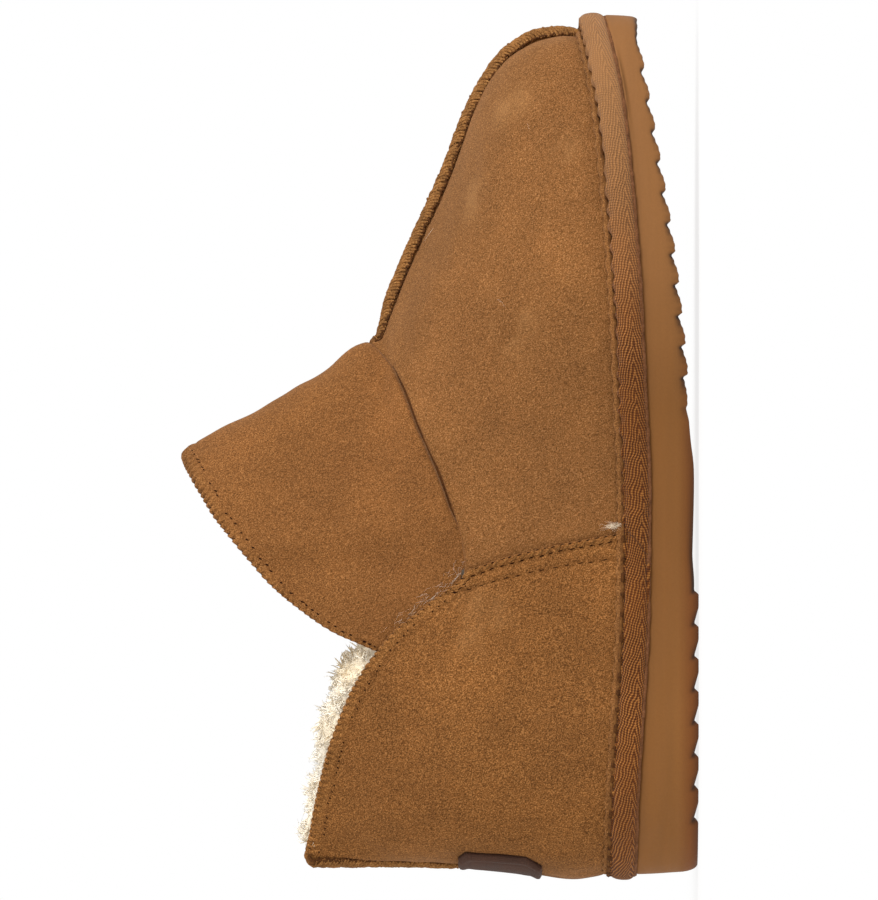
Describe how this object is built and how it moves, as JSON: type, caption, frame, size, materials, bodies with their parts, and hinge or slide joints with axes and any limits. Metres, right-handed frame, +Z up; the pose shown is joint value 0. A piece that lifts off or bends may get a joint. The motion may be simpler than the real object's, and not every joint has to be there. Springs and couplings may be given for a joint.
{
  "type": "suede slipper",
  "caption": "Left ankle slipper in suede with a tall front cuff, a raised toe seam, a thick shearling lining, a rolled rand and a ribbed sole.",
  "frame": {"origin": "bottom centre of the bounding box, on the floor under the shoe", "axes": "+Z up, the toe points to -Y and the heel to +Y, and the inner side of this left shoe faces -X"},
  "size_m": [0.1034, 0.265, 0.1558],
  "materials": {
    "outsole_rubber": "matte",
    "twill_tape": "woven herringbone",
    "suede": "suede nap",
    "shearling": "deep pile",
    "overlock_thread": "matte thread",
    "label_leather": "matte"
  },
  "bodies": {
    "root": {"outsole": "outsole_rubber", "rand": "twill_tape", "upper": "suede", "cuff": "suede", "insole": "shearling", "fleece_lining": "shearling", "toe_seam": "overlock_thread", "heel_seam": "overlock_thread", "heel_label": "label_leather"}
  },
  "joints": []
}
